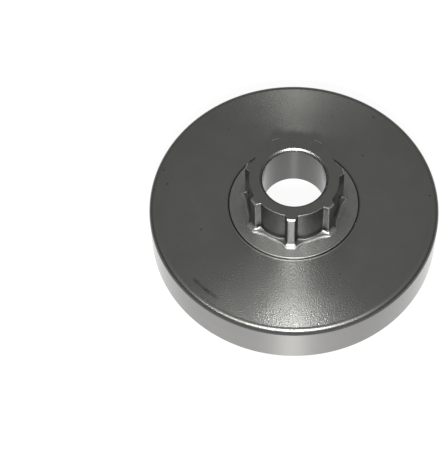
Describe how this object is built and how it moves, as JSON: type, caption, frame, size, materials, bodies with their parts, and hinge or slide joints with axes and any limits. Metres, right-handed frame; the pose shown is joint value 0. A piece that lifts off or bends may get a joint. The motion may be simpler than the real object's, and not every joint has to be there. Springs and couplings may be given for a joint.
{
  "type": "chainsaw clutch drum",
  "caption": "Shallow round steel clutch drum: an open cup with a turned wall for the clutch shoes and a splined, bored hub standing on its closed face.",
  "frame": {"origin": "centre of the open rim's plane, on the bore's axis", "axes": "+Z along the bore, from the open rim up towards the splined hub; the first spline points along -Y"},
  "size_m": [0.074, 0.074, 0.0257],
  "materials": {
    "drum_steel": "dark grainy as-formed steel, with the wall, friction track and bore turned bright"
  },
  "bodies": {
    "root": {"clutch_drum": "drum_steel"}
  },
  "joints": []
}
